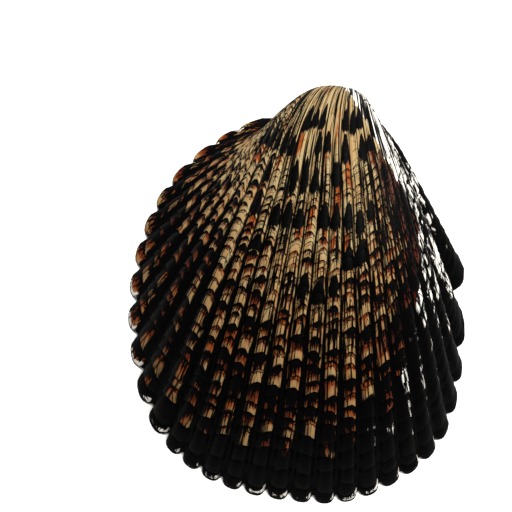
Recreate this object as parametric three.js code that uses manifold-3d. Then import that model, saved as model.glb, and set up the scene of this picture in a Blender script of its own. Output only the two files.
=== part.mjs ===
// One valve of a cockle shell, lying on its rim with the hollow side down.
// Millimetres, +Z up, +Y towards the beak, +X towards the steep posterior side.

import * as THREE from 'three';
import { mergeVertices } from 'three/addons/utils/BufferGeometryUtils.js';
import Module from 'manifold-3d';

// Margin outline about the beak: bearing in degrees from straight down, radius in mm
const MARGIN = [
  [-90, 12.6], [-80, 20.5], [-70, 29.0], [-60, 36.5], [-50, 43.9], [-40, 51.3],
  [-33, 56.4], [-27, 59.2], [-20, 60.8], [-8, 61.0], [1, 60.5], [8, 58.3],
  [16, 54.3], [20, 50.7], [25, 44.7], [30, 38.8], [36, 32.6], [39.5, 30.4],
  [42.5, 26.6], [45, 21.2], [49, 15.4], [58, 11.1], [70, 7.9], [90, 5.7],
];

// Coil that carries the growing margin about the hinge line
const COIL_RATE = 0.9;
const COIL_SHARPNESS = 6;
const OUTER_COIL_LIMIT = THREE.MathUtils.degToRad(172);
const CAVITY_COIL_LIMIT = THREE.MathUtils.degToRad(115);
const SIDE_SPREAD = 3.5;
const UMBO_TILT = THREE.MathUtils.degToRad(10);
const TILT_ENDS = [0.08, 0.42];

// Radial ribs: bearing in degrees, and how many ribs lie between -90 and that bearing
const RIB_COUNT = 36;
const RIB_SPREAD = [[-90, 0], [-29.3, 12], [27.6, 28], [34.9, 29], [44.4, 30], [90, RIB_COUNT]];
const RIB_DEPTH_TO_WIDTH = 0.3;
const RIB_PHASES = [
  { at: 0, depth: 1 },
  { at: 0.3, depth: 0 },
  { at: 0.7, depth: 0 },
];

// Hollow inside: the same form, smaller, leaving a rim, a wall and a hinge plate
const RIM_WIDTH = 2.8;
const HINGE_PLATE_WIDTH = 4;
const CAVITY_HEIGHT_RATIO = 0.9;
const CAVITY_DROP = 0.3;

// Socket in the hinge plate, and the two cardinal teeth that stand in it, clear of the rim plane
const SOCKET = { x: -1.2, y: -2.9, halfLength: 4.2, halfWidth: 1.8, depth: 1.1 };
const TOOTH = { radius: 0.75, height: 1.5, tipClearance: 0.3, sides: 10 };
const TOOTH_PLACES = [[-1.9, -2.5], [0.5, -2.7]];

// Fineness of the two coiled surfaces
const OUTER_ROWS = 24;
const CAVITY_ROWS = 16;
const CAVITY_COLUMNS = 36;
const FIRST_STAGE = 0.06;
const ROW_CROWDING = 1.2;

const SHELL_COLOR = 0xa9804f;

// Smooth curve through the margin points, with the mean of the two slopes at each point
function curveThrough(points) {
  const last = points.length - 1;
  const slope = (i) => (points[i + 1][1] - points[i][1]) / (points[i + 1][0] - points[i][0]);
  const tangent = (i) => {
    if (i === 0) return slope(0);
    if (i === last) return slope(last - 1);
    return (slope(i - 1) + slope(i)) / 2;
  };
  return (x) => {
    let i = 0;
    while (i < last - 1 && x > points[i + 1][0]) i += 1;
    const span = points[i + 1][0] - points[i][0];
    const t = (x - points[i][0]) / span;
    const rise = points[i][1] * (1 + 2 * t) * (1 - t) ** 2 + points[i + 1][1] * t * t * (3 - 2 * t);
    const lean = tangent(i) * t * (1 - t) ** 2 + tangent(i + 1) * t * t * (t - 1);
    return rise + span * lean;
  };
}

const marginRadius = curveThrough(MARGIN);

// Bearing of a place counted in ribs from the anterior end of the hinge line
function ribBearing(place) {
  let i = 0;
  while (i < RIB_SPREAD.length - 2 && place > RIB_SPREAD[i + 1][1]) i += 1;
  const [fromBearing, fromRib] = RIB_SPREAD[i];
  const [toBearing, toRib] = RIB_SPREAD[i + 1];
  return THREE.MathUtils.mapLinear(place, fromRib, toRib, fromBearing, toBearing);
}

// Point of the full-grown margin in its own plane
function marginPoint(bearing) {
  const angle = THREE.MathUtils.degToRad(bearing);
  const radius = marginRadius(bearing);
  return new THREE.Vector2(radius * Math.sin(angle), -radius * Math.cos(angle));
}

// Direction in the margin's plane that points out of the outline
function marginNormal(bearing) {
  const step = 0.5;
  const along = marginPoint(bearing + step).sub(marginPoint(bearing - step)).normalize();
  return new THREE.Vector2(along.y, -along.x);
}

// Turn about the hinge line, from 0 at the margin to the coil's limit at the beak
function coilTurn(stage, limit) {
  const turn = -Math.log(stage) / COIL_RATE;
  return turn / (1 + (turn / limit) ** COIL_SHARPNESS) ** (1 / COIL_SHARPNESS);
}

// Point of the coiled surface at a bearing and growth stage, sunk towards the inside by a depth
function coilPoint(bearing, stage, depth, limit) {
  const margin = marginPoint(bearing);
  const normal = marginNormal(bearing);
  const spread = ((1 + SIDE_SPREAD) * stage) / (stage + SIDE_SPREAD);
  const sunk = depth * stage;
  const across = margin.x * spread - normal.x * sunk;
  const along = margin.y * stage - normal.y * sunk;
  const turn = coilTurn(stage, limit);
  const tilt = UMBO_TILT * (1 - THREE.MathUtils.smoothstep(stage, ...TILT_ENDS));
  const ahead = along * Math.cos(turn);
  return [
    across * Math.cos(tilt) + ahead * Math.sin(tilt),
    ahead * Math.cos(tilt) - across * Math.sin(tilt),
    -along * Math.sin(turn),
  ];
}

// Columns of the ribbed surface: a valley and two crest edges for each rib
function ribColumns() {
  const columns = [];
  for (let rib = 0; rib < RIB_COUNT; rib += 1) {
    const width = THREE.MathUtils.degToRad(ribBearing(rib + 1) - ribBearing(rib))
      * marginRadius(ribBearing(rib + 0.5));
    for (const phase of RIB_PHASES) {
      const sunk = rib + phase.at === 0 ? 0 : phase.depth * RIB_DEPTH_TO_WIDTH * width;
      columns.push({ bearing: ribBearing(rib + phase.at), depth: sunk });
    }
  }
  columns.push({ bearing: ribBearing(RIB_COUNT), depth: 0 });
  return columns;
}

// Evenly spread columns of a smooth surface
function plainColumns(count) {
  const columns = [];
  for (let i = 0; i <= count; i += 1) {
    columns.push({ bearing: ribBearing((RIB_COUNT * i) / count), depth: 0 });
  }
  return columns;
}

// Closed solid between a coiled surface and the plane of its margin
function coiledSolid(columns, rows, limit) {
  const width = columns.length;
  const points = [0, 0, 0];
  for (let row = 0; row < rows; row += 1) {
    const stage = FIRST_STAGE + (1 - FIRST_STAGE) * (row / (rows - 1)) ** ROW_CROWDING;
    for (const column of columns) {
      points.push(...coilPoint(column.bearing, stage, column.depth, limit));
    }
  }
  const beak = 0;
  const at = (row, column) => (row < 0 ? beak : 1 + row * width + column);
  const faces = [];
  for (let column = 0; column < width - 1; column += 1) {
    faces.push(beak, at(0, column), at(0, column + 1));
    for (let row = 0; row < rows - 1; row += 1) {
      faces.push(at(row, column), at(row + 1, column), at(row + 1, column + 1));
      faces.push(at(row, column), at(row + 1, column + 1), at(row, column + 1));
    }
  }
  const rim = rows - 1;
  for (let column = 1; column < width - 2; column += 1) {
    faces.push(beak, at(rim, column + 1), at(rim, column));
  }
  for (let row = -1; row < rim; row += 1) {
    faces.push(at(rim, 1), at(row + 1, 0), at(row, 0));
    faces.push(at(rim, width - 2), at(row, width - 1), at(row + 1, width - 1));
  }
  const geometry = new THREE.BufferGeometry();
  geometry.setAttribute('position', new THREE.Float32BufferAttribute(points, 3));
  geometry.setIndex(faces);
  return geometry;
}

// The hollow, scaled so that it leaves the rim's width all round and the hinge plate at the back
function cavitySolid(outerBox) {
  const geometry = coiledSolid(plainColumns(CAVITY_COLUMNS), CAVITY_ROWS, CAVITY_COIL_LIMIT);
  const marginLength = -outerBox.min.y;
  const shellWidth = outerBox.max.x - outerBox.min.x;
  const scaleX = 1 - (2 * RIM_WIDTH) / shellWidth;
  const scaleY = 1 - (RIM_WIDTH + HINGE_PLATE_WIDTH) / marginLength;
  const middleX = (outerBox.min.x + outerBox.max.x) / 2;
  geometry.scale(scaleX, scaleY, CAVITY_HEIGHT_RATIO);
  geometry.translate(middleX * (1 - scaleX), -HINGE_PLATE_WIDTH, -CAVITY_DROP);
  return geometry;
}

// Oval socket sunk into the hinge plate from below
function socketSolid() {
  const outline = new THREE.Shape();
  outline.absellipse(SOCKET.x, SOCKET.y, SOCKET.halfLength, SOCKET.halfWidth, 0, 2 * Math.PI);
  const geometry = new THREE.ExtrudeGeometry(outline, {
    depth: SOCKET.depth + CAVITY_DROP,
    bevelEnabled: false,
    curveSegments: 14,
  });
  return geometry.translate(0, 0, -CAVITY_DROP);
}

// One cardinal tooth, a blunt cone that points down
function toothSolid([x, y]) {
  const geometry = new THREE.CylinderGeometry(
    TOOTH.radius, TOOTH.radius / 3, TOOTH.height, TOOTH.sides,
  );
  geometry.rotateX(Math.PI / 2);
  return geometry.translate(x, y, TOOTH.tipClearance + TOOTH.height / 2);
}

const wasm = await Module();
wasm.setup();

// Closed geometry as a solid that can be cut and joined
function toSolid(geometry) {
  geometry.deleteAttribute('normal');
  geometry.deleteAttribute('uv');
  const merged = mergeVertices(geometry);
  return new wasm.Manifold(new wasm.Mesh({
    numProp: 3,
    vertProperties: Float32Array.from(merged.attributes.position.array),
    triVerts: Uint32Array.from(merged.index.array),
  }));
}

// Solid back to a geometry with flat-shaded faces
function toGeometry(solid) {
  const mesh = solid.getMesh();
  const geometry = new THREE.BufferGeometry();
  geometry.setAttribute('position', new THREE.BufferAttribute(mesh.vertProperties, 3));
  geometry.setIndex(new THREE.BufferAttribute(mesh.triVerts, 1));
  geometry.computeVertexNormals();
  return geometry;
}

function valveGeometry() {
  const outer = coiledSolid(ribColumns(), OUTER_ROWS, OUTER_COIL_LIMIT);
  outer.computeBoundingBox();
  let valve = toSolid(outer).subtract(toSolid(cavitySolid(outer.boundingBox)));
  valve = valve.subtract(toSolid(socketSolid()));
  for (const place of TOOTH_PLACES) valve = valve.add(toSolid(toothSolid(place)));
  return toGeometry(valve);
}

// The valve stands on its rim, with the origin under the middle of its bounding box
function cockleValve() {
  const geometry = valveGeometry();
  geometry.computeBoundingBox();
  const middle = geometry.boundingBox.getCenter(new THREE.Vector3());
  const material = new THREE.MeshStandardMaterial({
    color: SHELL_COLOR,
    roughness: 0.55,
    metalness: 0,
  });
  const mesh = new THREE.Mesh(geometry, material);
  mesh.name = 'cockle_valve';
  mesh.position.set(-middle.x, -middle.y, 0);
  return mesh;
}

const cockleShell = new THREE.Group();
cockleShell.add(cockleValve());

export default cockleShell;
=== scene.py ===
# A cockle valve seen straight onto its outside, lying on its rim on a pale floor.
# The form grows as the real one does: a margin outline that turns about the hinge line as it shrinks
# towards the beak. A place on it is a bearing in degrees about the beak, or a count of ribs, and a
# growth stage, which is 0 at the beak and 1 at the margin. Lengths of the form are in millimetres
# until the mesh is made. A table holds bearings or growth stages and the values there, with straight
# lines between; a pair of bearings or stages is where a smooth step begins and ends.

import math

import bpy
import numpy as np
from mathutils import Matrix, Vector


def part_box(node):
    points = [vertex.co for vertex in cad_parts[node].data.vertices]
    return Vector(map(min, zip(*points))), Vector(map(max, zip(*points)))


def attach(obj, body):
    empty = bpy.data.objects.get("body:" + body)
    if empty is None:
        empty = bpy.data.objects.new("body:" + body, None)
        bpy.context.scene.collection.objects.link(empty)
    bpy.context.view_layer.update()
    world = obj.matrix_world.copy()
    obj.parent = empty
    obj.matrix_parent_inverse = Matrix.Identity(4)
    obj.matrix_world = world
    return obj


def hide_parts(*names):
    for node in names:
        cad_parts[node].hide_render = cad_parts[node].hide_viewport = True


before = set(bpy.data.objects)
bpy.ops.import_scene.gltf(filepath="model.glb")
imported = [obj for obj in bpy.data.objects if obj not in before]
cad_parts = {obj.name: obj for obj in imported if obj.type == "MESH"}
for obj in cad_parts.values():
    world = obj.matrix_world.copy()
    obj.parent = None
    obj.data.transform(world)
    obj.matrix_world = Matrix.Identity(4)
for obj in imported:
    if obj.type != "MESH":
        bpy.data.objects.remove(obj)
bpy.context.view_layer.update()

NODE = "cockle_valve"
MM = 0.001
SEED = 7

# Margin outline about the beak: bearing in degrees from straight down, radius in mm
MARGIN = np.array([
    (-90, 12.6), (-80, 20.5), (-70, 29.0), (-60, 36.5), (-50, 43.9), (-40, 51.3),
    (-33, 56.4), (-27, 59.2), (-20, 60.8), (-8, 61.0), (1, 60.5), (8, 58.3),
    (16, 54.3), (20, 50.7), (25, 44.7), (30, 38.8), (36, 32.6), (39.5, 30.4),
    (42.5, 26.6), (45, 21.2), (49, 15.4), (58, 11.1), (70, 7.9), (90, 5.7),
])
NORMAL_STEP = 0.5

# Coil that carries the growing margin about the hinge line
COIL_RATE = 0.9
COIL_SHARPNESS = 6
OUTER_COIL_LIMIT = math.radians(172)
CAVITY_COIL_LIMIT = math.radians(115)
SIDE_SPREAD = 3.5
UMBO_TILT = math.radians(10)
TILT_ENDS = (0.08, 0.42)
FIRST_STAGE = 0.06

# Radial ribs: bearing in degrees, and how many ribs lie between -90 and that bearing
RIB_COUNT = 36
RIB_SPREAD_BEARINGS = (-90, -29.3, 27.6, 34.9, 44.4, 90)
RIB_SPREAD_COUNTS = (0, 12, 28, 29, 30, RIB_COUNT)
RIB_DEPTH_TO_WIDTH = 0.34
POSTERIOR_DEEPENING = 0.3
POSTERIOR_BEARINGS = (18, 30)
CRENULATION = 0.35
CRENULATED_STAGES = (0.97, 1)

# The middle of the shell, and how far from it the flanks begin
MIDDLE_BEARING = -3
FLANK_TURN = (24, 40)

# Section of a rib: place of the crest in shares of the pitch, open share between ribs, roundness
YOUNG_CREST = ((-90, -30, 5, 20, 30, 90), (0.6, 0.66, 0.64, 0.55, 0.38, 0.45))
GROWN_CREST = ((-90, -30, -5, 12, 30, 45, 90), (0.5, 0.55, 0.55, 0.38, 0.26, 0.22, 0.4))
CREST_SHIFT_STAGES = (0.78, 1)
OPEN_SHARE_MIDDLE = (
    (0.2, 0.5, 0.65, 0.8, 0.9, 0.97, 1),
    (0.08, 0.10, 0.14, 0.24, 0.3, 0.2, 0.12),
)
OPEN_SHARE_FLANK = ((0.2, 0.6, 1), (0.12, 0.2, 0.14))
SECTION_POWERS = (2.6, 0.6)

# Columns of a rib by their distance from its crest, -1 and 1 being the interspaces beside it
COLUMNS = (-0.92, -0.78, -0.56, -0.29, 0.0, 0.29, 0.56, 0.78, 0.92)
INTERSPACE_ROWS = 90
INTERSPACE_CROWDING = 1.15

# Scales: growth stage where they begin, length in mm, strength, arch and lean by bearing
SCALES_BEGIN = ((-90, -45, -25, 18, 35, 90), (0.20, 0.24, 0.44, 0.40, 0.30, 0.26))
SCALES_FADE_IN = (-0.02, 0.2)
SCALE_LENGTH = (
    (-90, -60, -40, -20, 14, 24, 45, 90),
    (1.7, 1.9, 2.05, 2.05, 2.0, 1.9, 1.5, 1.1),
)
SCALE_GROWTH_MIDDLE = ((0.25, 0.5, 0.6, 0.77, 0.9, 1), (0.38, 0.52, 0.7, 0.95, 1, 0.85))
SCALE_GROWTH_FLANK = ((0.2, 0.4, 0.6, 1), (0.45, 0.6, 0.95, 1))
SCALE_STRENGTH = ((-90, -40, -20, 15, 30, 90), (0.75, 0.8, 0.8, 0.75, 0.7, 0.55))
SCALE_ARCH = ((-90, -45, -20, 20, 40, 90), (1.3, 1.25, 0.9, 0.75, 0.7, 0.5))
SCALE_LEAN = ((-45, -20, 0, 25), (-0.35, -0.1, 0, -0.4))

# How far one scale may differ from the rule
LENGTH_SPREAD = (0.65, 1.35)
ARCH_SPREAD = (0.85, 1.15)
LEAN_SPREAD = (-0.3, 0.3)
RELIEF_SPREAD = (0.65, 1.0)

# Least radius in mm by which a scale's length becomes growth stages
SHORTEST_RADIUS = 12

# Where scales straighten near the beak and the margin, stop sliding, and flatten beside the crest
BEAK_STRAIGHTENING = 0.1
MARGIN_STRAIGHTENING = (0.9, 1)
SLIDE_END_STAGES = (0.985, 1)
STANDING_EDGES = (0.6, 1)

# Rows of one scale: share of its length, lift and slide in shares of its relief and its length
SCALE_ROWS = (
    (0.00, -1.00, -0.12),
    (0.12, -0.92, 0.00),
    (0.30, -0.55, 0.00),
    (0.50, -0.28, 0.00),
    (0.72, -0.12, 0.02),
    (0.92, 0.00, 0.12),
    (0.97, -0.06, 0.22),
    (0.99, -0.26, 0.20),
)

# The same rows of a growth tick
TICK_ROWS = (
    (0.00, -0.90, 0.00),
    (0.50, -0.40, 0.00),
    (0.95, 0.00, 0.00),
)
TICK_RELIEF = 0.07

# Hollow inside, and the rim between it and the margin
RIM_WIDTH = 2.8
HINGE_PLATE_WIDTH = 4.0
CAVITY_HEIGHT_RATIO = 0.9
CAVITY_DROP = 0.3
LIP_HEIGHT = 0.35
LIP_BEGINS = 0.7
FLUTE_DEPTH = 0.28
FLUTED_STAGES = (0.84, 1)
INSIDE_COLUMNS_PER_RIB = 6
INSIDE_ROWS = 46
INSIDE_CROWDING = 1.1
RIM_MIDDLE = (-6.0, -27.0)
RIM_LEVELS = (0.05, 0.12, 0.2, 0.28, 0.36, 0.44, 0.52, 0.6, 0.68, 0.76, 0.84, 0.9, 0.95)
RIM_PAINT_RATE = 8

# Muscle scars: bearing, growth stage and half sizes in both
MUSCLE_SCARS = ((-56, 0.60, 9, 0.075), (31, 0.60, 7, 0.07))
SCAR_EDGE = (0.85, 1.05)
SCAR_RELIEF = 0.14

# Line between the scars: growth stage and half width, ends, height, strength of its stain
PALLIAL_LINE = (0.8, 0.006)
PALLIAL_BEARINGS = (-50, 26)
PALLIAL_RELIEF = 0.07
PALLIAL_STAIN = 0.7

# Socket and teeth of the hinge plate: place, half sizes along and across the plate, height
SOCKET = (-1.2, -2.6, 4.2, 1.5, 1.1)
SOCKET_SHARPNESS = 4
CARDINAL_TEETH = ((-1.9, -2.5, 0.8, 0.75, 0.8), (0.6, -2.7, 0.7, 0.7, 0.7))
LATERAL_TEETH = ((-13.5, -3.9, 2.6, 0.6, 0.6), (6.6, -4.2, 1.5, 0.5, 0.5))
TOOTH_SHARPNESS = 1.2
LATERAL_PIT_GROWTH = (1.3, 2.1)
LATERAL_PIT_SHARPNESS = 2

# Line work at these growth stages; the three rows are the left flank, the middle and the right flank
LINE_STAGES = (0.12, 0.30, 0.45, 0.60, 0.75, 0.90, 1.0)

# Painted shade: dark shares of the pitch on a rib's left side and on its right side, where the rib's
# sides and interspaces turn from the light
LEFT_SIDE_SHADE = (
    (0.10, 0.10, 0.16, 0.36, 0.48, 0.62, 0.40),
    (0.07, 0.06, 0.08, 0.12, 0.24, 0.46, 0.30),
    (0.16, 0.12, 0.12, 0.14, 0.20, 0.32, 0.24),
)
RIGHT_SIDE_SHADE = (
    (0.06, 0.06, 0.10, 0.18, 0.22, 0.24, 0.10),
    (0.03, 0.03, 0.04, 0.07, 0.12, 0.16, 0.10),
    (0.16, 0.14, 0.12, 0.16, 0.23, 0.34, 0.50),
)

# Depth of the painted shadow in the hollow under a scale's lip, and share of hatching
SCALE_SHADOW = (
    (0.30, 0.54, 0.66, 0.72, 0.76, 0.84, 0.60),
    (0.00, 0.00, 0.24, 0.60, 0.86, 0.95, 0.70),
    (0.30, 0.45, 0.60, 0.64, 0.60, 0.55, 0.50),
)
HATCHING = (
    (0.50, 0.30, 0.20, 0.20, 0.25, 0.35, 0.20),
    (0.60, 0.58, 0.64, 0.64, 0.52, 0.45, 0.20),
    (1.00, 0.95, 0.80, 0.65, 0.50, 0.40, 0.20),
)
LINE_WORK = (LEFT_SIDE_SHADE, RIGHT_SIDE_SHADE, SCALE_SHADOW, HATCHING)
LEFT_FLANK = (16, 36)
RIGHT_FLANK = (22, 32)

# Painted shade on the outermost ribs of the posterior side, which turn away from the light and are dark
# nearly all over
OUTER_RIB_BEARINGS = (34.5, 38)
OUTER_RIB_STAGES = (0.45, 0.6)
OUTER_RIB_SHADE = 0.8

# Dark band along the margin, partly dark pigment and partly painted shade where the margin curves down
# from the light: the growth stage where it begins by bearing, softness, unevenness
BAND_EDGE = (
    (-60, -42, -30, -20, -8, 0, 6, 12, 20, 26, 32, 44, 60),
    (1.2, 1.02, 0.94, 0.91, 0.90, 0.89, 0.87, 0.85, 0.82, 0.86, 0.9, 0.93, 1.2),
)
BAND_SOFTNESS = (-0.03, 0.03)
BAND_UNEVENNESS = 0.011

# Pale fringe of the margin's lobes, and the dark outline outside it
LOBED_BEARINGS = ((-60, -50), (18, 26))
FRINGE_SWEEP = 0.012
FRINGE_STAGES = (0.988, 0.996)
OUTLINE_STAGES = (0.9955, 0.998)

# Pale flecks in the band: middle and half width in degrees, stages, and how far they break it
FLECKS_BEARING = 15
FLECKS_HALF_TURN = 12
FLECKS_STAGES = ((0.8, 0.86), (0.93, 0.97))
FLECKS_IN_BAND = 0.45

# Pale posterior side: the bearing where it begins by growth stage, and its softness
PALE_EDGE = (
    (0.14, 0.18, 0.26, 0.36, 0.45, 0.54, 0.6, 0.68, 0.78),
    (-6, 2, 12, 18, 23, 26, 23, 16, 11),
)
PALE_SOFTNESS = (-1.2, 1.2)

# Painted shade along the keel, where the posterior side turns down from the light: bearing and width by
# growth stage
KEEL_BEARING = ((0.1, 0.16, 0.21, 0.25, 0.32, 0.38, 0.46, 0.6), (-4, 6, 20, 25, 30, 32, 37, 40))
KEEL_WIDTH = ((0.2, 0.36), (1.5, 4.5))
KEEL_FRONT = (-1.5, 0.5)
KEEL_BACK = (-1, 2)
KEEL_END = (0.45, 0.5)
KEEL_SHADE = 0.85

# Maroon edge in front of the pale side, counted from it, and the dusk in front of that
MAROON_BEARINGS = (-14, -3)
MAROON_STAGES = ((0.24, 0.42), (0.68, 0.76))
DUSK_BEARINGS = (0, 14)
DUSK_STAGES = (0.28, 0.46)

# Rusty mottling by growth stage, and how much more of it there is in the dusk
MOTTLE = ((0.4, 0.6, 0.8), (0.0, 0.25, 0.42))
DUSK_MOTTLE = 0.3

# Other zones where the line work differs
SPARSE_END = (0.3, 0.42)
# The umbo's left side is hatched darker as painted shade
LEFT_UMBO_BEARINGS = (8, 30)
LEFT_UMBO_END = (0.28, 0.42)
PALE_MIDDLE_STAGES = (0.64, 0.74)
PALE_MIDDLE_END = (20, 26)
PALE_LOW_STAGES = (0.6, 0.7)

# What the zones add to the four numbers of LINE_WORK, and the hatching of the sparse zone
PALE_MIDDLE_LINES = (0.24, 0, 0, 0)
SPARSE_LINES = (0.14, 0.16, 0, 0)
DUSK_LINES = (0, 0, 0.12, 0.1)
PALE_LOW_LINES = (0, 0, 0.06, 0)
LEFT_UMBO_LINES = (0, 0, 0, 0.25)
MAROON_LINES = (0, 0, 0, 0.15)
PALE_BEAK_HATCH = 0.68

# Dark blotches: growth stage of a band, and the ribs that carry one
BLOTCH_BANDS = (
    (0.26, (15, 16, 17, 20, 21, 22)),
    (0.32, (10, 11, 12, 13, 14, 17, 18, 20, 22, 23)),
    (0.38, (12, 15, 16, 17, 19, 24)),
    (0.45, (12, 14, 15, 16, 18, 19, 20, 21, 22)),
    (0.51, (13, 20, 21)),
    (0.57, (17, 18, 19)),
)
BLOTCH_HALF_WIDTH = 0.48
BLOTCH_HALF_LENGTH = 0.026
BLOTCH_SHORTENING = ((0.38, 0.5), (1, 0.7))
DROP_WIDENING = 0.3

# How far one blotch may differ from the rule, in growth stages or in shares of its size
BLOTCH_SHIFT = (-0.008, 0.008)
BLOTCH_WIDTHS = (0.8, 1.25)
BLOTCH_LENGTHS = (0.75, 1.3)

# Rust behind a blotch: shift in ribs, lag in lengths of the blotch, width and strength
TAIL_SHIFT = (-0.2, 0.2)
TAIL_LAG = (1.0, 1.4)
TAIL_WIDTH = 0.6
TAIL_STRENGTHS = (0, 0.8, 1)

# Rust spots of their own: growth stage and rib
RUST_SPOTS = ((0.19, 16), (0.25, 19), (0.29, 19), (0.29, 12), (0.43, 19), (0.46, 17))
RUST_SPOT_WIDTH = 0.7

# Linear colours
TAN = (0.31, 0.232, 0.112)
SAND = (0.30, 0.178, 0.072)
# Brown of the painted shade beside the gaps
SHADE_BROWN = (0.085, 0.036, 0.017)
RUST = (0.24, 0.055, 0.010)
EMBER = (0.10, 0.018, 0.006)
MAROON = (0.045, 0.005, 0.004)
# Near-black of the blotches, band and lines, and of the painted shade in the gaps and under the scales
INK_AND_SHADE = (0.0006, 0.0005, 0.0005)
CREAM = (0.70, 0.67, 0.61)
LINING = (0.66, 0.58, 0.47)
STAIN = (0.40, 0.25, 0.14)

rng = np.random.default_rng(SEED)


def smoothstep(x, low, high):
    t = np.clip((np.asarray(x, float) - low) / (high - low), 0, 1)
    return t * t * (3 - 2 * t)


# Form

def curve_through(points):
    """Smooth curve through points, with the mean of the two slopes at each."""
    xs, ys = points[:, 0], points[:, 1]
    slopes = np.diff(ys) / np.diff(xs)
    tangents = np.concatenate([slopes[:1], (slopes[:-1] + slopes[1:]) / 2, slopes[-1:]])

    def curve(x):
        x = np.asarray(x, float)
        i = np.clip(np.searchsorted(xs, x) - 1, 0, len(xs) - 2)
        span = xs[i + 1] - xs[i]
        t = (x - xs[i]) / span
        rise = ys[i] * (1 + 2 * t) * (1 - t) ** 2 + ys[i + 1] * t * t * (3 - 2 * t)
        lean = tangents[i] * t * (1 - t) ** 2 + tangents[i + 1] * t * t * (t - 1)
        return rise + span * lean

    return curve


margin_radius = curve_through(MARGIN)


def rib_bearing(place):
    return np.interp(place, RIB_SPREAD_COUNTS, RIB_SPREAD_BEARINGS)


def margin_point(bearing):
    angle = np.radians(bearing)
    radius = margin_radius(bearing)
    return radius * np.sin(angle), -radius * np.cos(angle)


def margin_normal(bearing):
    """Direction in the margin's plane that points out of the outline."""
    x0, y0 = margin_point(np.asarray(bearing) - NORMAL_STEP)
    x1, y1 = margin_point(np.asarray(bearing) + NORMAL_STEP)
    length = np.hypot(x1 - x0, y1 - y0)
    return (y1 - y0) / length, -(x1 - x0) / length


def coil_turn(stage, limit):
    turn = -np.log(stage) / COIL_RATE
    return turn / (1 + (turn / limit) ** COIL_SHARPNESS) ** (1 / COIL_SHARPNESS)


def grow(bearing, stage, lift, limit=OUTER_COIL_LIMIT):
    """Points of the coiled surface at a bearing and growth stage, raised outwards by lift."""
    bearing, stage, lift = np.broadcast_arrays(bearing, stage, lift)
    x, y = margin_point(bearing)
    nx, ny = margin_normal(bearing)
    across = x * (1 + SIDE_SPREAD) * stage / (stage + SIDE_SPREAD) + nx * lift
    along = y * stage + ny * lift
    turn = coil_turn(stage, limit)
    tilt = UMBO_TILT * (1 - smoothstep(stage, *TILT_ENDS))
    ahead = along * np.cos(turn)
    return np.stack([
        across * np.cos(tilt) + ahead * np.sin(tilt),
        ahead * np.cos(tilt) - across * np.sin(tilt),
        np.maximum(-along * np.sin(turn), 0),
    ], axis=-1)


# Rules of the ribs and their scales

def central(bearing):
    """1 on the middle of the shell, 0 on its two flanks."""
    return 1 - smoothstep(np.abs(np.asarray(bearing) - MIDDLE_BEARING), *FLANK_TURN)


def rib_width(rib):
    """Width of a rib at the margin."""
    turn = math.radians(rib_bearing(rib + 1) - rib_bearing(rib))
    return turn * float(margin_radius(rib_bearing(rib + 0.5)))


def crest_place(bearing, stage):
    """Where the crest stands between the two interspaces, in shares of the pitch."""
    young = np.interp(bearing, *YOUNG_CREST)
    grown = np.interp(bearing, *GROWN_CREST)
    return young + (grown - young) * smoothstep(stage, *CREST_SHIFT_STAGES)


def interspace_share(bearing, stage):
    """Share of the pitch that is open between the ribs."""
    middle = np.interp(stage, *OPEN_SHARE_MIDDLE)
    flank = np.interp(stage, *OPEN_SHARE_FLANK)
    return flank + (middle - flank) * central(bearing)


def rib_section(distance, share):
    """Height of a rib's section, 1 on its crest and 0 in the interspace."""
    inner_power, outer_power = SECTION_POWERS
    inside = np.clip(distance / (1 - share), 0, 1)
    return (1 - inside ** inner_power) ** outer_power


def scales_begin(bearing):
    """Growth stage at which scales replace the plain growth ticks of the beak."""
    return float(np.interp(bearing, *SCALES_BEGIN))


def scale_length(bearing, stage):
    """Length of one scale in mm."""
    full = np.interp(bearing, *SCALE_LENGTH)
    middle = np.interp(stage, *SCALE_GROWTH_MIDDLE)
    flank = np.interp(stage, *SCALE_GROWTH_FLANK)
    return float(full * (flank + (middle - flank) * central(bearing)))


def scale_relief(bearing, stage, width):
    """Depth of a scale's step in mm, and how far scales have replaced the ticks, 0 to 1."""
    begin = scales_begin(bearing)
    strength = np.interp(bearing, *SCALE_STRENGTH)
    grown = smoothstep(stage, begin + SCALES_FADE_IN[0], begin + SCALES_FADE_IN[1])
    height = RIB_DEPTH_TO_WIDTH * width * stage
    return max(float(strength * height * grown), TICK_RELIEF * stage), float(grown)


def scale_arch(bearing):
    """How far a scale's middle lags behind its sides, in shares of its length."""
    return float(np.interp(bearing, *SCALE_ARCH))


def growth_marks(bearing):
    """Growth stages where the scales or ticks of a rib end, from the beak to the margin."""
    radius = float(margin_radius(bearing))
    marks = [FIRST_STAGE]
    while marks[-1] < 1:
        step = scale_length(bearing, marks[-1]) / max(radius, SHORTEST_RADIUS)
        marks.append(marks[-1] + step * rng.uniform(*LENGTH_SPREAD))
    marks = np.array(marks)
    free = marks > scales_begin(bearing)
    base = marks[~free][-1]
    marks[free] = base + (marks[free] - base) * (1 - base) / (marks[-1] - base)
    return marks


# Mesh of the form

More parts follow.
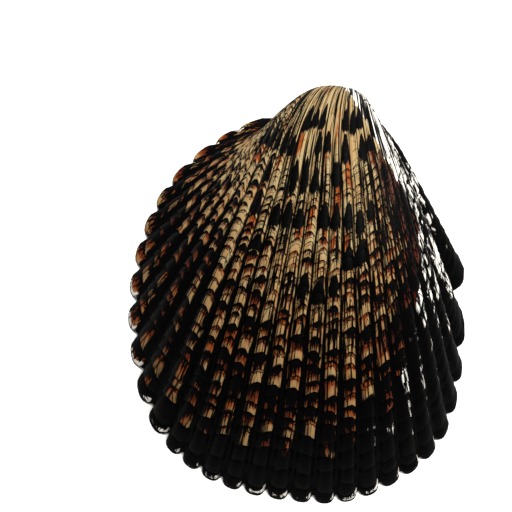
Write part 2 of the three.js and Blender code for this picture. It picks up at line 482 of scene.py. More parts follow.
class Surface:
    """Vertices with their growth places, and the faces between them."""

    def __init__(self):
        self.points = []
        self.places = []
        self.faces = []
        self.count = 0

    def add(self, points, across, stage, scale=0.0, edge=0.0, inside=0.0, mark=0.0):
        """Adds vertices and returns their numbers."""
        points = np.asarray(points, float).reshape(-1, 3)
        place = np.stack(np.broadcast_arrays(across, stage, scale, edge, inside, mark), axis=-1)
        self.points.append(points)
        self.places.append(np.broadcast_to(place, (len(points), place.shape[-1])))
        first = self.count
        self.count += len(points)
        return np.arange(first, self.count)

    def at(self, numbers):
        return np.concatenate(self.points)[numbers]

    def quads(self, left, right):
        """Faces between two rows of vertices that match."""
        for k in range(len(left) - 1):
            self.faces.append((left[k], left[k + 1], right[k + 1], right[k]))

    def zip(self, left, left_at, right, right_at):
        """Faces between two rows of vertices that don't match, in the order of their places."""
        i = j = 0
        while i < len(left) - 1 or j < len(right) - 1:
            if j == len(right) - 1 or (i < len(left) - 1 and left_at[i + 1] <= right_at[j + 1]):
                self.faces.append((left[i], left[i + 1], right[j]))
                i += 1
            else:
                self.faces.append((left[i], right[j + 1], right[j]))
                j += 1


def crowded_stages(rows, crowding):
    """Growth stages from the beak to the margin, closer together near the beak."""
    return FIRST_STAGE + (1 - FIRST_STAGE) * np.linspace(0, 1, rows) ** crowding


def rib_rows(marks, bearing, width):
    """Rows of one rib: stage, slid stage, lift, scale count, arch and tilt in growth stages."""
    rows = []
    begin = scales_begin(bearing)
    radius = max(float(margin_radius(bearing)), SHORTEST_RADIUS)
    size = np.array([scale_length(bearing, mark) for mark in marks]) / radius
    arches = scale_arch(bearing) * size * rng.uniform(*ARCH_SPREAD, len(marks))
    lean = np.interp(bearing, *SCALE_LEAN)
    tilts = size * (lean + rng.uniform(*LEAN_SPREAD, len(marks)))
    for k in range(len(marks) - 1):
        length = marks[k + 1] - marks[k]
        relief, grown = scale_relief(bearing, marks[k + 1], width)
        relief *= rng.uniform(*RELIEF_SPREAD)
        pattern = SCALE_ROWS if marks[k + 1] > begin else TICK_ROWS
        for share, lift, slide in pattern:
            stage = marks[k] + share * length
            free = float(smoothstep(stage, FIRST_STAGE, FIRST_STAGE + BEAK_STRAIGHTENING))
            free *= 1 - float(smoothstep(stage, *MARGIN_STRAIGHTENING))
            arch = arches[k] + (arches[k + 1] - arches[k]) * share
            tilt = tilts[k] + (tilts[k + 1] - tilts[k]) * share
            fade = 1 - float(smoothstep(stage, *SLIDE_END_STAGES))
            slid = stage + slide * grown * fade * length
            rows.append((stage, slid, lift * relief, k + share, arch * free, tilt * free))
    rows.append((1.0, 1.0, 0.0, len(marks) - 1, 0.0, 0.0))
    return np.array(rows)


def rib_depth(bearing, width):
    """Depth of the interspaces beside a rib at the margin; they are deepest on the posterior side."""
    posterior = float(smoothstep(bearing, *POSTERIOR_BEARINGS))
    return width * RIB_DEPTH_TO_WIDTH * (1 + POSTERIOR_DEEPENING * posterior)


def interspace_column(surface, rib, stages, widths):
    """The valley before a rib; at the two ends of the hinge line it is the shell's edge."""
    beside = [widths[n] for n in (rib - 1, rib) if 0 <= n < RIB_COUNT]
    ends = rib in (0, RIB_COUNT)
    sunk = 0 if ends else rib_depth(rib_bearing(rib), sum(beside) / len(beside))
    points = grow(rib_bearing(rib), stages, -sunk * stages)
    if not ends:
        points[:, 2] += CRENULATION * smoothstep(stages, *CRENULATED_STAGES)
    return surface.add(points, rib, stages, edge=1.0)


def rib_columns(surface, rib, width):
    """The columns of one rib, with its scales. Returns them and the stages of their rows."""
    middle = float(rib_bearing(rib + 0.5))
    rows = rib_rows(growth_marks(middle), middle, width)
    nominal, slid, lift, scale, arch, tilt = rows.T
    crest = crest_place(middle, nominal)
    columns = []
    for distance in COLUMNS:
        edge = abs(distance)
        place = rib + crest + distance * (crest if distance < 0 else 1 - crest)
        at_end = (rib == 0 and distance < 0) or (rib == RIB_COUNT - 1 and distance > 0)
        height = rib_section(edge, interspace_share(middle, nominal))
        if at_end:
            height = np.ones_like(nominal)
        bend = tilt * distance * (1 - edge ** 4) - arch * (1 - edge ** 2)
        stage = np.clip(slid + bend, FIRST_STAGE, 1)
        standing = 1 - smoothstep(edge, *STANDING_EDGES)
        rise = lift * standing - rib_depth(middle, width) * (1 - height) * nominal
        points = grow(rib_bearing(place), stage, rise)
        points[:, 2] += CRENULATION * (1 - height) * smoothstep(stage, *CRENULATED_STAGES)
        columns.append(surface.add(points, place, nominal, scale, edge))
    return columns, nominal


def build_outside(surface):
    """The ribbed, scaly outside. Returns its edge: the margin, then the hinge line and the beak."""
    beak = surface.add([(0, 0, 0)], RIB_COUNT / 2, 0)
    stages = crowded_stages(INTERSPACE_ROWS, INTERSPACE_CROWDING)
    widths = [rib_width(rib) for rib in range(RIB_COUNT)]
    valleys = [interspace_column(surface, rib, stages, widths) for rib in range(RIB_COUNT + 1)]
    margin = [valleys[0][-1]]
    firsts = [valleys[0][0]]
    for rib in range(RIB_COUNT):
        columns, nominal = rib_columns(surface, rib, widths[rib])
        surface.zip(valleys[rib], stages, columns[0], nominal)
        for left, right in zip(columns, columns[1:]):
            surface.quads(left, right)
        surface.zip(columns[-1], nominal, valleys[rib + 1], stages)
        margin += [column[-1] for column in columns] + [valleys[rib + 1][-1]]
        firsts += [column[0] for column in columns] + [valleys[rib + 1][0]]
    for left, right in zip(firsts, firsts[1:]):
        surface.faces.append((beak[0], left, right))
    return np.array(margin + list(valleys[-1][-2::-1]) + [beak[0]] + list(valleys[0][:-1]))


def muscle_scars(bearing, stage):
    """1 within the two scars where the muscles held the shell."""
    scars = 0
    for middle, at, turn, length in MUSCLE_SCARS:
        away = np.hypot((bearing - middle) / turn, (stage - at) / length)
        scars = scars + 1 - smoothstep(away, *SCAR_EDGE)
    return scars


def pallial_line(bearing, stage):
    """1 on the line between the two scars, where the mantle was fixed."""
    at, half_width = PALLIAL_LINE
    first, last = PALLIAL_BEARINGS
    return np.exp(-((stage - at) / half_width) ** 2) * (first < bearing < last)


def build_inside(surface):
    """The smooth hollow. Returns its edge in the same order as the outside's."""
    count = RIB_COUNT * INSIDE_COLUMNS_PER_RIB
    places = np.arange(count + 1) / INSIDE_COLUMNS_PER_RIB
    stages = crowded_stages(INSIDE_ROWS, INSIDE_CROWDING)
    outer = grow(rib_bearing(places), 1.0, 0.0)
    middle_x = (outer[:, 0].min() + outer[:, 0].max()) / 2
    scale_x = 1 - 2 * RIM_WIDTH / np.ptp(outer[:, 0])
    scale_y = 1 - (RIM_WIDTH + HINGE_PLATE_WIDTH) / -outer[:, 1].min()

    def settle(points):
        x = points[..., 0] * scale_x + middle_x * (1 - scale_x)
        y = points[..., 1] * scale_y - HINGE_PLATE_WIDTH
        raised = (CAVITY_DROP + LIP_HEIGHT) * np.exp(-points[..., 2])
        z = points[..., 2] * CAVITY_HEIGHT_RATIO - CAVITY_DROP + raised
        return np.stack([x, y, z], axis=-1)

    beak = surface.add(settle(np.zeros((1, 3))), RIB_COUNT / 2, 0, inside=1)
    columns = []
    for place in places:
        bearing = float(rib_bearing(place))
        scars = muscle_scars(bearing, stages)
        line = pallial_line(bearing, stages)
        flute = FLUTE_DEPTH * np.cos(2 * np.pi * place) * smoothstep(stages, *FLUTED_STAGES)
        lift = flute * (0 < place < RIB_COUNT) + SCAR_RELIEF * scars + PALLIAL_RELIEF * line
        points = settle(grow(bearing, stages, -lift, CAVITY_COIL_LIMIT))
        stain = np.maximum(scars, PALLIAL_STAIN * line)
        columns.append(surface.add(points, place, stages, inside=1, mark=stain))
    for left, right in zip(columns, columns[1:]):
        surface.quads(right, left)
        surface.faces.append((beak[0], right[0], left[0]))
    margin = [column[-1] for column in columns]
    return np.array(margin + list(columns[-1][-2::-1]) + [beak[0]] + list(columns[0][:-1]))


def bump(x, y, shape, sharpness):
    """Height of an oval mound or pit at a place."""
    at_x, at_y, half_x, half_y, height = shape
    away = ((x - at_x) / half_x) ** 2 + ((y - at_y) / half_y) ** 2
    return height * (1 - smoothstep(away, 1 - 1 / sharpness, 1 + 1 / sharpness))


def hinge_height(x, y):
    """Height of the hinge plate's underside above the plane the shell rests on."""
    longer, wider = LATERAL_PIT_GROWTH
    height = bump(x, y, SOCKET, SOCKET_SHARPNESS)
    for tooth in CARDINAL_TEETH:
        height = height - bump(x, y, tooth, TOOTH_SHARPNESS)
    for tooth in LATERAL_TEETH:
        at_x, at_y, half_x, half_y, rise = tooth
        pit = (at_x, at_y, half_x * longer, half_y * wider, rise)
        height = height + bump(x, y, pit, LATERAL_PIT_SHARPNESS)
        height = height - bump(x, y, tooth, TOOTH_SHARPNESS)
    return np.maximum(height, 0)


def build_rim(surface, outer, inner):
    """The rim and hinge plate, in rings between the outside's edge and the hollow's edge."""
    outer = np.append(outer, outer[0])
    inner = np.append(inner, inner[0])
    outer_at, inner_at = surface.at(outer), surface.at(inner)

    def turns(points):
        return np.unwrap(np.arctan2(points[:, 1] - RIM_MIDDLE[1], points[:, 0] - RIM_MIDDLE[0]))

    outer_turn, inner_turn = turns(outer_at), turns(inner_at)
    cycle = 2 * np.pi
    ring_turn = np.concatenate([inner_turn[:-1] - cycle, inner_turn, inner_turn[1:] + cycle])
    ring = np.concatenate([inner_at[:-1], inner_at, inner_at[1:]])
    facing = [np.interp(outer_turn, ring_turn, ring[:, axis]) for axis in range(3)]
    facing = np.stack(facing, axis=-1)
    across = np.concatenate(surface.places)[outer, 0]
    previous = outer
    for share in RIM_LEVELS:
        points = outer_at + (facing - outer_at) * share
        lip = LIP_HEIGHT * smoothstep(share, LIP_BEGINS, 1)
        plate = lip + hinge_height(points[:, 0], points[:, 1])
        points[:, 2] = outer_at[:, 2] * (1 - smoothstep(share, 0, LIP_BEGINS)) + plate
        level = surface.add(points[:-1], across[:-1], 1.0, inside=min(share * RIM_PAINT_RATE, 1))
        level = np.append(level, level[0])
        surface.quads(level, previous)
        previous = level
    surface.zip(inner, inner_turn, previous, outer_turn)


# Pigment

def within(x, rise, fall):
    """1 between two smooth steps, 0 before the first and after the second."""
    return smoothstep(x, *rise) * (1 - smoothstep(x, *fall))


def drop(across, stage, place, at, half_width, half_length):
    """A drop-shaped mark that widens towards the margin: 1 at its middle, 0.5 on its outline."""
    ahead = (stage - at) / half_length
    beside = (across - place) / (half_width * (1 + DROP_WIDENING * np.clip(ahead, -1, 1)))
    return np.clip(1 - 0.5 * (beside ** 2 + ahead ** 2), 0, 1)


def blotches(across, stage):
    """Dark drops in bands across the ribs, and the rust that trails from them."""
    dark = np.zeros_like(across)
    rust = np.zeros_like(across)
    for at, ribs in BLOTCH_BANDS:
        shortening = np.interp(at, *BLOTCH_SHORTENING)
        for rib in ribs:
            crest = rib + 0.5
            middle = at + rng.uniform(*BLOTCH_SHIFT)
            width = BLOTCH_HALF_WIDTH * rng.uniform(*BLOTCH_WIDTHS)
            length = BLOTCH_HALF_LENGTH * rng.uniform(*BLOTCH_LENGTHS) * shortening
            dark = np.maximum(dark, drop(across, stage, crest, middle, width, length))
            behind = crest + rng.uniform(*TAIL_SHIFT)
            lag = length * rng.uniform(*TAIL_LAG)
            tail = drop(across, stage, behind, middle + lag, width * TAIL_WIDTH, length)
            rust = np.maximum(rust, tail * rng.choice(TAIL_STRENGTHS))
    for at, rib in RUST_SPOTS:
        width = BLOTCH_HALF_WIDTH * RUST_SPOT_WIDTH
        spot = drop(across, stage, rib + 0.5, at, width, BLOTCH_HALF_LENGTH)
        rust = np.maximum(rust, spot)
    return dark, rust


def line_work(bearing, stage):
    """The four numbers of LINE_WORK at every vertex."""
    left = smoothstep(-bearing, *LEFT_FLANK)
    right = smoothstep(bearing, *RIGHT_FLANK)
    weights = (left, 1 - left - right, right)
    shares = np.stack([
        sum(weight * np.interp(stage, LINE_STAGES, values) for weight, values in zip(weights, rule))
        for rule in LINE_WORK
    ], axis=-1)
    outermost = smoothstep(bearing, *OUTER_RIB_BEARINGS) * smoothstep(stage, *OUTER_RIB_STAGES)
    # painted shade: the outermost ribs turn dark on their right side
    shares[:, 1] += (OUTER_RIB_SHADE - shares[:, 1]) * outermost
    return shares


def zoned_line_work(bearing, stage, pale, sparse, dusk, maroon):
    """Line work with what the zones of the pattern add to it."""
    pale_middle = pale * smoothstep(stage, *PALE_MIDDLE_STAGES)
    pale_middle *= 1 - smoothstep(bearing, *PALE_MIDDLE_END)
    pale_low = pale * smoothstep(stage, *PALE_LOW_STAGES)
    # painted shade: more hatching on the umbo's left side
    left_umbo = smoothstep(-bearing, *LEFT_UMBO_BEARINGS) * (1 - smoothstep(stage, *LEFT_UMBO_END))
    zones = (
        (pale_middle, PALE_MIDDLE_LINES), (sparse, SPARSE_LINES), (dusk, DUSK_LINES),
        (pale_low, PALE_LOW_LINES), (left_umbo, LEFT_UMBO_LINES), (maroon, MAROON_LINES),
    )
    lines = line_work(bearing, stage)
    for zone, added in zones:
        lines += zone[:, None] * np.array(added)
    lines[:, 3] += (PALE_BEAK_HATCH - lines[:, 3]) * sparse
    return lines


def margin_marks(across, bearing, stage, edge):
    """The dark band along the margin, partly pigment and partly painted shade, the pale fringe of its
    lobes and the dark outline.
    """
    uneven = rng.normal(0, BAND_UNEVENNESS, RIB_COUNT + 1)[np.floor(across).astype(int)]
    band = smoothstep(stage - np.interp(bearing, *BAND_EDGE) + uneven, *BAND_SOFTNESS)
    fringe = smoothstep(stage + FRINGE_SWEEP * edge ** 2, *FRINGE_STAGES)
    fringe *= within(bearing, *LOBED_BEARINGS)
    return band, fringe, smoothstep(stage, *OUTLINE_STAGES)


def keel_line(bearing, stage):
    """Painted shade along the keel, where the surface turns down; it ends at half the shell's growth.
    """
    past = bearing - np.interp(stage, *KEEL_BEARING)
    past_width = past - np.interp(stage, *KEEL_WIDTH)
    keel = smoothstep(past, *KEEL_FRONT) * (1 - smoothstep(past_width, *KEEL_BACK))
    return keel * (1 - smoothstep(stage, *KEEL_END))


def paint(places):
    """Pigment of every vertex: line work, marks and cover, four numbers each."""
    across, stage, _, edge, inside, mark = places.T
    bearing = rib_bearing(across)
    past_pale = bearing - np.interp(stage, *PALE_EDGE)
    pale = smoothstep(past_pale, *PALE_SOFTNESS)
    band, fringe, outline = margin_marks(across, bearing, stage, edge)
    dark, rust = blotches(across, stage)

    dusk = smoothstep(bearing, *DUSK_BEARINGS) * smoothstep(stage, *DUSK_STAGES) * (1 - pale)
    mottle = (np.interp(stage, *MOTTLE) + DUSK_MOTTLE * dusk) * (1 - pale)
    maroon = smoothstep(past_pale, *MAROON_BEARINGS) * (1 - pale) * within(stage, *MAROON_STAGES)
    sparse = pale * (1 - smoothstep(stage, *SPARSE_END))

    flecks = np.exp(-((bearing - FLECKS_BEARING) / FLECKS_HALF_TURN) ** 2)
    flecks *= within(stage, *FLECKS_STAGES)
    band = band * (1 - FLECKS_IN_BAND * flecks) * (1 - fringe)
    # The band also carries the dark outline and the keel's painted shade
    band = np.maximum(band, np.maximum(outline, KEEL_SHADE * keel_line(bearing, stage)))
    light = np.maximum(pale, np.maximum(fringe, flecks))
    return {
        "line_work": zoned_line_work(bearing, stage, pale, sparse, dusk, maroon),
        "marks": np.stack([dark, np.maximum(rust, mottle), band, light], axis=-1),
        "cover": np.stack([inside, maroon, sparse, mark], axis=-1),
    }


# Edges bent more than this are shaded sharp
SHARP_ANGLE = math.radians(55)


def stand_in_box(points):
    """Stands the form in the CAD node's box. Returns its points and the beak's tip, in mm."""
    low, high = points.min(axis=0), points.max(axis=0)
    cad_lo, cad_hi = (np.array(corner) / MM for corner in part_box(NODE))
    fit = min(((cad_hi - cad_lo) / (high - low)).min(), 1.0)
    foot = np.array([(low[0] + high[0]) / 2, (low[1] + high[1]) / 2, low[2]])
    target = np.array([(cad_lo[0] + cad_hi[0]) / 2, (cad_lo[1] + cad_hi[1]) / 2, cad_lo[2]])
    return (points - foot) * fit + target, target - foot * fit


def make_valve():
    """The valve's mesh in its CAD place. Returns its object and the place of the beak's tip."""
    surface = Surface()
    outer = build_outside(surface)
    inner = build_inside(surface)
    build_rim(surface, outer, inner)
    points, beak_tip = stand_in_box(np.concatenate(surface.points))
    places = np.concatenate(surface.places)
    mesh = bpy.data.meshes.new("valve")
    mesh.from_pydata((points * MM).tolist(), [], [tuple(map(int, face)) for face in surface.faces])
    mesh.update()
    layers = {"growth": places[:, :4]} | paint(places)
    for name, values in layers.items():
        layer = mesh.attributes.new(name, "FLOAT_COLOR", "POINT")
        layer.data.foreach_set("color", values.astype(np.float32).ravel())
    mesh.shade_smooth()
    mesh.set_sharp_from_angle(angle=SHARP_ANGLE)
    valve = bpy.data.objects.new("valve", mesh)
    bpy.context.collection.objects.link(valve)
    return valve, beak_tip * MM


# Material

# Sockets of the colour mix node
MIX_SHARE = 0
MIX_UNDER = 6
MIX_OVER = 7
MIX_RESULT = 2


class Graph:
    """Short names for the nodes of one material."""

    def __init__(self, material):
        self.tree = material.node_tree

    def node(self, kind, **settings):
        node = self.tree.nodes.new("ShaderNode" + kind)
        for name, value in settings.items():
            setattr(node, name, value)
        return node

    def feed(self, socket, value):
        if isinstance(value, bpy.types.NodeSocket):
            self.tree.links.new(value, socket)
        else:
            socket.default_value = value

    def math(self, operation, *values):
        node = self.node("Math", operation=operation)
        for socket, value in zip(node.inputs, values):
            self.feed(socket, value)
        return node.outputs[0]

    def chain(self, operation, values):
        result = values[0]
        for value in values[1:]:
            result = self.math(operation, result, value)
        return result

    def add(self, *values):
        return self.chain("ADD", values)

    def times(self, *values):
        return self.chain("MULTIPLY", values)

    def most(self, *values):
        """The highest of the values."""
        return self.chain("MAXIMUM", values)

    def minus(self, first, second):
        return self.math("SUBTRACT", first, second)

    def step(self, value, low, high):
        """Rises smoothly from 0 at low to 1 at high."""
        node = self.node("MapRange", interpolation_type="SMOOTHSTEP")
        self.feed(node.inputs["Value"], value)
        self.feed(node.inputs["From Min"], low)
        self.feed(node.inputs["From Max"], high)
        return node.outputs[0]

    def below(self, value, low, high):
        """Falls smoothly from 1 at low to 0 at high."""
        return self.minus(1.0, self.step(value, low, high))

    def line(self, away, low, high):
        """A line where away is 0, full up to the distance low and gone at high."""
        return self.below(self.math("ABSOLUTE", away), low, high)

    def centred(self, noise, width):
        """Noise as a shift to both sides, of a width."""
        return self.times(self.add(noise, -0.5), width)

    def vector(self, x, y):
        node = self.node("CombineXYZ")
        for socket, value in zip(node.inputs, (x, y)):
            self.feed(socket, value)
        return node.outputs[0]

    def noise(self, vector, scale, detail):
        node = self.node("TexNoise")
        self.feed(node.inputs["Vector"], vector)
        node.inputs["Scale"].default_value = scale
        node.inputs["Detail"].default_value = detail
        return node.outputs[0]

    def streaks(self, place, per_rib, per_length, detail=2.0):
        """Noise drawn out along the ribs."""
        vector = self.vector(self.times(place.across, per_rib), self.times(place.stage, per_length))
        return self.noise(vector, 1.0, detail)

    def between(self, share, first, second):
        return self.add(first, self.times(share, self.minus(second, first)))

    def mix(self, share, under, over):
        node = self.node("Mix", data_type="RGBA")
        self.feed(node.inputs[MIX_SHARE], share)
        for socket, value in ((node.inputs[MIX_UNDER], under), (node.inputs[MIX_OVER], over)):
            self.feed(socket, value if isinstance(value, bpy.types.NodeSocket) else (*value, 1))
        return node.outputs[MIX_RESULT]

    def parts(self, colour):
        node = self.node("SeparateColor")
        self.feed(node.inputs[0], colour)
        return tuple(node.outputs[:3])

    def layer(self, name):
        """The four numbers of a painted layer."""
        node = self.node("Attribute", attribute_name=name)
        return *self.parts(node.outputs["Color"]), node.outputs["Alpha"]

    def lots(self, across, scale):
        """Three random numbers of every scale."""
        node = self.node("TexWhiteNoise", noise_dimensions="2D")
        whole = self.vector(self.math("FLOOR", across), self.math("FLOOR", scale))
        self.feed(node.inputs["Vector"], whole)
        return self.parts(node.outputs["Color"])


# Streaks: how many to a rib and to the shell's length, and their detail, where not 2
FINE_STREAKS = (11.0, 30.0)
COLOUR_STREAKS = (3.2, 22.0, 3.0)
SWAY_STREAKS = (3.0, 30.0, 3.0)
STROKE_STREAKS = (15.0, 24.0)
NARROW_HATCH_STREAKS = (5.0, 7.0)
SPARSE_HATCH_STREAKS = (2.7, 6.0)
WIDE_HATCH_STREAKS = (7.0, 13.0)
INSIDE_STREAKS = (1.5, 3.0)
GROWTH_LINE_STREAKS = (0.5, 330.0)

# Noise in space: scale and detail
CLOUDS = (260.0, 3.0)
INSIDE_CLOUDS = (160.0, 3.0)
GRAIN = (2600.0, 3.0)


class Place:
    """Where a spot lies on the growing shell, with the lots and noises that its marks share."""

    def __init__(self, g):
        self.across, self.stage, scale, self.edge = g.layer("growth")
        self.along = g.math("FRACT", scale)
        self.lots = g.lots(self.across, scale)
        self.fine = g.streaks(self, *FINE_STREAKS)
        self.streak = g.add(g.streaks(self, *COLOUR_STREAKS), -0.5)
        self.spot = g.node("TexCoord").outputs["Object"]


# Painted shade in the gaps between the ribs and on each rib's shadow side: how its edges sway, less so
# near the beak, and how soft they are; the valley floor is painted dark too
BROAD_SWAY = 0.24
FINE_SWAY = 0.2
SWAY_STAGES = (0.35, 0.75)
SWAY_AT_BEAK = 0.4
GAP_SOFTNESS = 0.03
VALLEY_EDGES = (0.9, 0.96)

# Thin line beside a gap
BESIDE_DRIFT = -0.22
BESIDE_WIDTH = (0.012, 0.045)
BESIDE_STAGES = (0.38, 0.5)


def interspaces(g, place, left_shade, right_shade, sparse):
    """Painted shade in the gaps between the ribs and on their shadow sides, every other gap where
    sparse, and the distance past the left one.
    """
    broad = g.streaks(place, *SWAY_STREAKS)
    sway = g.add(g.centred(broad, BROAD_SWAY), g.centred(place.fine, FINE_SWAY))
    sway = g.times(sway, g.between(g.step(place.stage, *SWAY_STAGES), SWAY_AT_BEAK, 1.0))
    phase = g.add(g.math("FRACT", place.across), sway)
    past_gap = g.minus(phase, left_shade)
    left = g.below(past_gap, -GAP_SOFTNESS, GAP_SOFTNESS)
    right = g.step(g.add(phase, right_shade), 1 - GAP_SOFTNESS, 1 + GAP_SOFTNESS)
    # painted shade on the floor of each valley
    valley = g.step(place.edge, *VALLEY_EDGES)
    odd = g.math("MODULO", g.math("ROUND", place.across), 2.0)
    gap_shade = g.times(g.most(left, right, valley), g.most(odd, g.minus(1.0, sparse)))
    beside = g.line(g.add(past_gap, g.times(broad, BESIDE_DRIFT)), *BESIDE_WIDTH)
    beside = g.times(beside, g.step(place.stage, *BESIDE_STAGES))
    return g.most(gap_shade, beside), past_gap


# Painted shadow under a scale's lip, drawn as a dark crescent: least share of its size, narrowing, when
# it shows, ragged edge
CRESCENT_LEAST = 0.3
CRESCENT_NARROWING = 1.15
CRESCENT_SHOWN = (0.03, 0.1)
CRESCENT_RAGGEDNESS = 0.4
CRESCENT_SOFTNESS = (-0.03, 0.03)

# Strokes that run out of the crescent: how they thin out, and how wide they are
STROKE_THINNING = -0.6
STROKE_LEVELS = (0.41, 0.47)

# Line with a bend on the crest, on the scales whose lot is high
BEND_SLOPE = 0.9
BEND_SPREAD = 0.8
BEND_WIDTH = (0.02, 0.055)
BEND_LOTS = (0.35, 0.37)

# Short line across a scale, behind its crescent
ECHO_PLACE = 0.5
ECHO_SPREAD = 0.35
ECHO_RAGGEDNESS = 0.35
ECHO_WIDTH = (0.015, 0.05)
ECHO_REACH = (1.0, 1.2)

# Tick at the end of a few scales
TICK_PLACE = (0.88, 0.94)
TICK_LOTS = (0.14, 0.16)
TICK_REACH = (0.5, 0.6)
TICK_STAGES = (0.14, 0.2)


def bent_lines(g, place):
    shift = g.times(place.lots[1], BEND_SPREAD)
    away = g.minus(g.minus(place.along, g.times(place.edge, BEND_SLOPE)), shift)
    return g.times(g.line(away, *BEND_WIDTH), g.step(place.lots[2], *BEND_LOTS))


def echoes(g, place):
    middle = g.add(ECHO_PLACE, g.times(place.lots[0], ECHO_SPREAD))
    away = g.add(g.minus(place.along, middle), g.centred(place.fine, ECHO_RAGGEDNESS))
    near_crest = g.below(g.add(place.edge, place.lots[1]), *ECHO_REACH)
    return g.times(g.line(away, *ECHO_WIDTH), near_crest)


def ticks(g, place):
    at_end = g.step(place.along, *TICK_PLACE)
    few = g.below(place.lots[2], *TICK_LOTS)
    near_crest = g.below(place.edge, *TICK_REACH)
    return g.times(at_end, few, near_crest, g.step(place.stage, *TICK_STAGES))


def scale_marks(g, place, hollow):
    """The painted shadow crescent under each scale with the lines on it, and the distance past the
    crescent.
    """
    size = g.times(hollow, g.add(CRESCENT_LEAST, place.lots[0]))
    beside = g.times(place.edge, CRESCENT_NARROWING)
    span = g.math("SQRT", g.most(g.minus(1.0, g.times(beside, beside)), 0.0))
    beyond = g.minus(place.along, g.times(size, span))
    ragged = g.add(beyond, g.centred(place.fine, CRESCENT_RAGGEDNESS))
    crescent = g.below(ragged, *CRESCENT_SOFTNESS)
    strokes = g.add(g.streaks(place, *STROKE_STREAKS), g.times(beyond, STROKE_THINNING))
    strokes = g.step(strokes, *STROKE_LEVELS)
    drawn = g.most(crescent, strokes, bent_lines(g, place), echoes(g, place))
    drawn = g.times(g.step(size, *CRESCENT_SHOWN), drawn)
    return g.most(drawn, ticks(g, place)), beyond


# Hatching: growth stages where its wide streaks take over, its weight and its levels
HATCH_STAGES = (0.35, 0.6)
HATCH_WEIGHT = 0.3
HATCH_LEVELS = (0.67, 0.73)


def hatching(g, place, hatch, sparse):
    """Long thin strokes along the ribs, set closer where the ribs are wide."""
    close = g.streaks(place, *NARROW_HATCH_STREAKS)
    narrow = g.between(sparse, close, g.streaks(place, *SPARSE_HATCH_STREAKS))
    wide = g.streaks(place, *WIDE_HATCH_STREAKS)
    strokes = g.between(g.step(place.stage, *HATCH_STAGES), narrow, wide)
    return g.step(g.add(strokes, g.times(hatch, HATCH_WEIGHT)), *HATCH_LEVELS)


# Ground: tan turning to sand, painted shade in brown beside the gaps, and rust to ember at the base of
# a scale
RIPE_STAGES = (0.3, 0.75)
RIPENING = 0.3
SAND_LEVELS = (0.4, 0.75)
SHADE_REACH = (0.0, 0.25)
SHADE_STAGES = (0.55, 0.8)
SHADE_STRENGTH = 0.7
BASE_REACH = (0.05, 0.5)
BASE_HOLLOW = (0.1, 0.4)
BASE_WARMTH = 0.45
RUST_LEAST = 0.4
RUST_SPREAD = 0.8
RUST_STREAKS = 1.2
RUST_LEVELS = (0.28, 0.72)
EMBER_LEVELS = (0.0, 0.6)


def ground_colour(g, place, rust, hollow, past_gap, beyond):
    """Colour of the shell between the dark marks, with brown painted shade beside the gaps."""
    streak, lots = place.streak, place.lots
    ripe = g.times(g.step(place.stage, *RIPE_STAGES), RIPENING)
    sandy = g.step(g.add(streak, g.noise(place.spot, *CLOUDS), ripe), *SAND_LEVELS)
    ground = g.mix(sandy, TAN, SAND)
    # Painted shade: brown on the shadow side of each rib, next to its gap
    shade = g.times(g.below(g.add(past_gap, streak), *SHADE_REACH), g.step(place.stage, *SHADE_STAGES))
    ground = g.mix(g.times(shade, SHADE_STRENGTH), ground, SHADE_BROWN)
    base = g.times(g.below(beyond, *BASE_REACH), g.step(hollow, *BASE_HOLLOW))
    chance = g.add(RUST_LEAST, g.times(lots[1], RUST_SPREAD))
    warm = g.add(g.times(rust, chance), g.times(base, BASE_WARMTH), g.times(streak, RUST_STREAKS))
    glow = g.step(g.add(streak, g.times(base, lots[2])), *EMBER_LEVELS)
    return g.mix(g.step(warm, *RUST_LEVELS), ground, g.mix(glow, RUST, EMBER))


# Maroon and pale cover, and the ragged edges of the blotches and the band
MAROON_LEVELS = (0.3, 0.7)
MAROON_STRENGTH = 0.9
PALE_STREAKS = 0.5
PALE_LEVELS = (0.4, 0.55)
MARK_STREAKS = 0.6
BLOTCH_RAGGEDNESS = 0.5
BAND_RAGGEDNESS = 0.7
MARK_LEVELS = (0.45, 0.55)


def ragged_mark(g, place, mark, raggedness):
    """A painted mark with an edge broken by streaks."""
    broken = g.add(mark, g.times(place.streak, MARK_STREAKS), g.centred(place.fine, raggedness))
    return g.step(broken, *MARK_LEVELS)


def outside_colour(g, place):
    blotch, rust, band, pale = g.layer("marks")
    _, maroon, sparse, _ = g.layer("cover")
    left_shade, right_shade, hollow, hatch = g.layer("line_work")
    gap_shade, past_gap = interspaces(g, place, left_shade, right_shade, sparse)
    scales, beyond = scale_marks(g, place, hollow)
    ground = ground_colour(g, place, rust, hollow, past_gap, beyond)
    reddened = g.step(g.add(maroon, place.streak), *MAROON_LEVELS)
    ground = g.mix(g.times(reddened, MAROON_STRENGTH), ground, MAROON)
    whitened = g.step(g.add(pale, g.times(place.streak, PALE_STREAKS)), *PALE_LEVELS)
    ground = g.mix(whitened, ground, CREAM)
    spotted = ragged_mark(g, place, blotch, BLOTCH_RAGGEDNESS)
    banded = ragged_mark(g, place, band, BAND_RAGGEDNESS)
    # Near-black of blotches, band and hatching, with painted shade in the gaps and under the scales
    ink_and_shade = g.most(gap_shade, scales, hatching(g, place, hatch, sparse), spotted, banded)
    return g.mix(ink_and_shade, ground, INK_AND_SHADE)


# Lining: cream clouds, a stained margin and stained scars
LINING_LEVELS = (0.3, 0.75)
RAY_LENGTH = 0.2
STAINED_MARGIN = (0.86, 1.12)
MARGIN_STAIN = 0.45
SCAR_STAIN = 0.3
LINING_BEGINS = (0.1, 0.5)


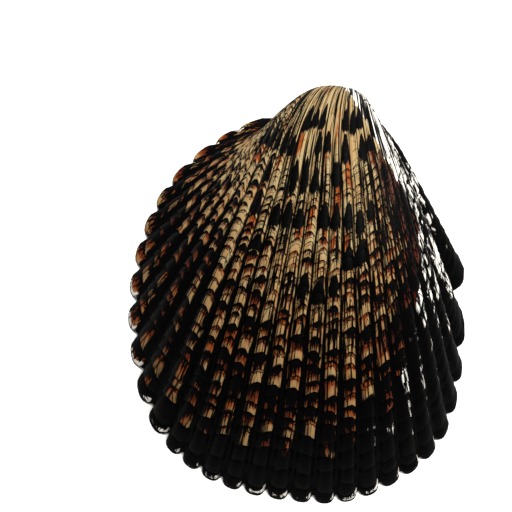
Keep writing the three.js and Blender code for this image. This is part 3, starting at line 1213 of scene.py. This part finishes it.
def inside_colour(g, place):
    cloud = g.noise(place.spot, *INSIDE_CLOUDS)
    scar = g.layer("cover")[3]
    rays = g.times(g.streaks(place, *INSIDE_STREAKS), RAY_LENGTH)
    colour = g.mix(g.step(cloud, *LINING_LEVELS), LINING, CREAM)
    near_margin = g.step(g.add(place.stage, rays), *STAINED_MARGIN)
    colour = g.mix(g.times(near_margin, MARGIN_STAIN), colour, STAIN)
    return g.mix(g.times(scar, SCAR_STAIN), colour, STAIN)


# Surface: satin, smoother inside, with fine growth lines and grain
ROUGHNESS = 0.5
GRAIN_ROUGHNESS = 0.15
INSIDE_SMOOTHNESS = -0.15
SPECULAR_LEVEL = 0.03
GROWTH_LINE_SHARE = 0.6
GRAIN_SHARE = 0.4
BUMP_STRENGTH = 0.5
BUMP_DEPTH = 0.00008


def make_material():
    """Satin shell: tan ground, near-black lines and blotches, painted shade in the gaps and under the
    scales, a pale inside and fine growth lines.
    """
    material = bpy.data.materials.new("shell")
    material.use_nodes = True
    g = Graph(material)
    shader = material.node_tree.nodes["Principled BSDF"]
    place = Place(g)
    inside = g.layer("cover")[0]
    lined = g.step(inside, *LINING_BEGINS)
    g.feed(shader.inputs["Base Color"], g.mix(lined, outside_colour(g, place), inside_colour(g, place)))
    grain = g.noise(place.spot, *GRAIN)
    satin = g.add(ROUGHNESS, g.times(grain, GRAIN_ROUGHNESS), g.times(inside, INSIDE_SMOOTHNESS))
    g.feed(shader.inputs["Roughness"], satin)
    shader.inputs["Specular IOR Level"].default_value = SPECULAR_LEVEL
    growth_lines = g.times(g.streaks(place, *GROWTH_LINE_STREAKS), GROWTH_LINE_SHARE)
    bump_node = g.node("Bump")
    bump_node.inputs["Strength"].default_value = BUMP_STRENGTH
    bump_node.inputs["Distance"].default_value = BUMP_DEPTH
    g.feed(bump_node.inputs["Height"], g.add(growth_lines, g.times(grain, GRAIN_SHARE)))
    g.feed(shader.inputs["Normal"], bump_node.outputs[0])
    return material


# Camera, light and floor

# Pixel of the beak in the photo, width of a photo pixel on the floor, lens and sensor in mm
BEAK_IN_PHOTO = (342.0, 118.0)
PHOTO_SIZE = 512
MM_PER_PIXEL = 0.1575
LENS = 260.0
SENSOR = 36.0

# Light, sky and floor, with lengths in metres
KEY_PLACE = (0.14, 0.2, 0.34)
KEY_SIZE = 0.12
KEY_WATTS = 3.1
KEY_COLOR = (1, 0.98, 0.95)
SKY_COLOR = (1, 1, 1, 1)
SKY_STRENGTH = 0.38
FLOOR_SIZE = 4
FLOOR_HEIGHT = -0.00005
FLOOR_COLOR = (0.95, 0.95, 0.95, 1)
FLOOR_ROUGHNESS = 0.9


def make_camera(beak):
    """Looks straight down, so that a photo pixel is MM_PER_PIXEL wide on the floor."""
    data = bpy.data.cameras.new("camera")
    data.lens = LENS
    data.sensor_width = SENSOR
    camera = bpy.data.objects.new("camera", data)
    bpy.context.collection.objects.link(camera)
    middle = PHOTO_SIZE / 2
    x = beak[0] + (middle - BEAK_IN_PHOTO[0]) * MM_PER_PIXEL * MM
    y = beak[1] - (middle - BEAK_IN_PHOTO[1]) * MM_PER_PIXEL * MM
    distance = PHOTO_SIZE * MM_PER_PIXEL * MM * LENS / SENSOR
    camera.location = (x, y, distance)
    bpy.context.scene.camera = camera


def make_key_light():
    """Round area light above the upper right, aimed at the origin."""
    data = bpy.data.lights.new("key", "AREA")
    data.shape = "DISK"
    data.size = KEY_SIZE
    data.energy = KEY_WATTS
    data.color = KEY_COLOR
    light = bpy.data.objects.new("key", data)
    light.location = KEY_PLACE
    light.rotation_euler = (-Vector(KEY_PLACE)).to_track_quat("-Z", "Y").to_euler()
    bpy.context.collection.objects.link(light)


def make_floor():
    bpy.ops.mesh.primitive_plane_add(size=FLOOR_SIZE, location=(0, 0, FLOOR_HEIGHT))
    floor = bpy.context.object
    floor.name = "floor"
    material = bpy.data.materials.new("floor")
    material.use_nodes = True
    shader = material.node_tree.nodes["Principled BSDF"]
    shader.inputs["Base Color"].default_value = FLOOR_COLOR
    shader.inputs["Roughness"].default_value = FLOOR_ROUGHNESS
    floor.data.materials.append(material)


def make_sky():
    world = bpy.data.worlds.new("world")
    bpy.context.scene.world = world
    world.use_nodes = True
    background = world.node_tree.nodes["Background"]
    background.inputs["Color"].default_value = SKY_COLOR
    background.inputs["Strength"].default_value = SKY_STRENGTH
    bpy.context.scene.view_settings.view_transform = "Standard"


valve, beak = make_valve()
valve.data.materials.append(make_material())
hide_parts(NODE)
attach(valve, "root")
make_camera(beak)
make_floor()
make_sky()
make_key_light()
